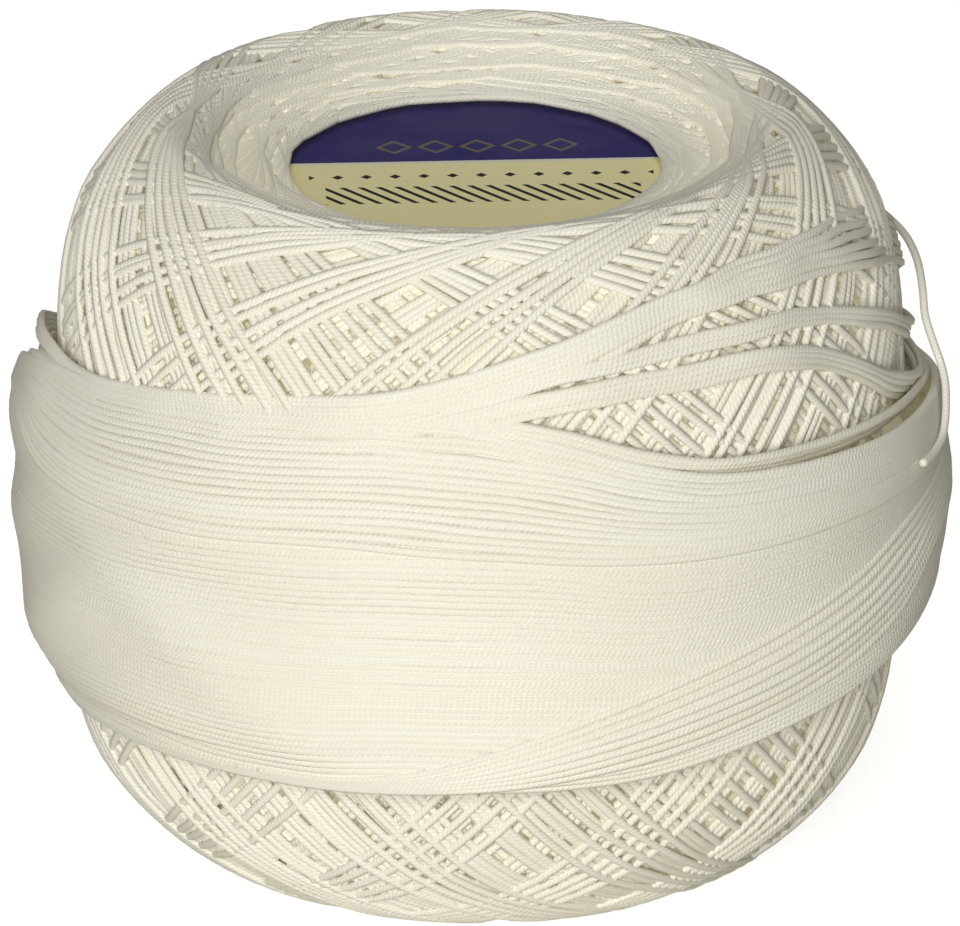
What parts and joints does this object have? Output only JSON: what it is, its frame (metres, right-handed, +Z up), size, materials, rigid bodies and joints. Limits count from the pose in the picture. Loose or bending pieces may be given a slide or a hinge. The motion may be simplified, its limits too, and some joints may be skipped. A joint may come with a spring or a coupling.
{
  "type": "ball of crochet thread",
  "caption": "Squat wound ball of fine white crochet thread with a raised middle band, a hollow in its crown holding a round card, and a loose end.",
  "frame": {"origin": "centre of the flat ring that the ball rests on", "axes": "+Z up through the hollow in the crown, -Y the front, +X the side with the loose end"},
  "size_m": [0.0498, 0.0496, 0.039],
  "materials": {
    "thread": "off-white six-cord crochet cotton, matt with a faint sheen along the ply",
    "card": "thin printed card, deep violet-blue above and pale cream below, lightly glossy",
    "loose_thread": "off-white six-cord crochet cotton, matt"
  },
  "bodies": {
    "root": {"wound_thread": "thread", "label_disc": "card", "loose_end": "loose_thread"}
  },
  "joints": []
}
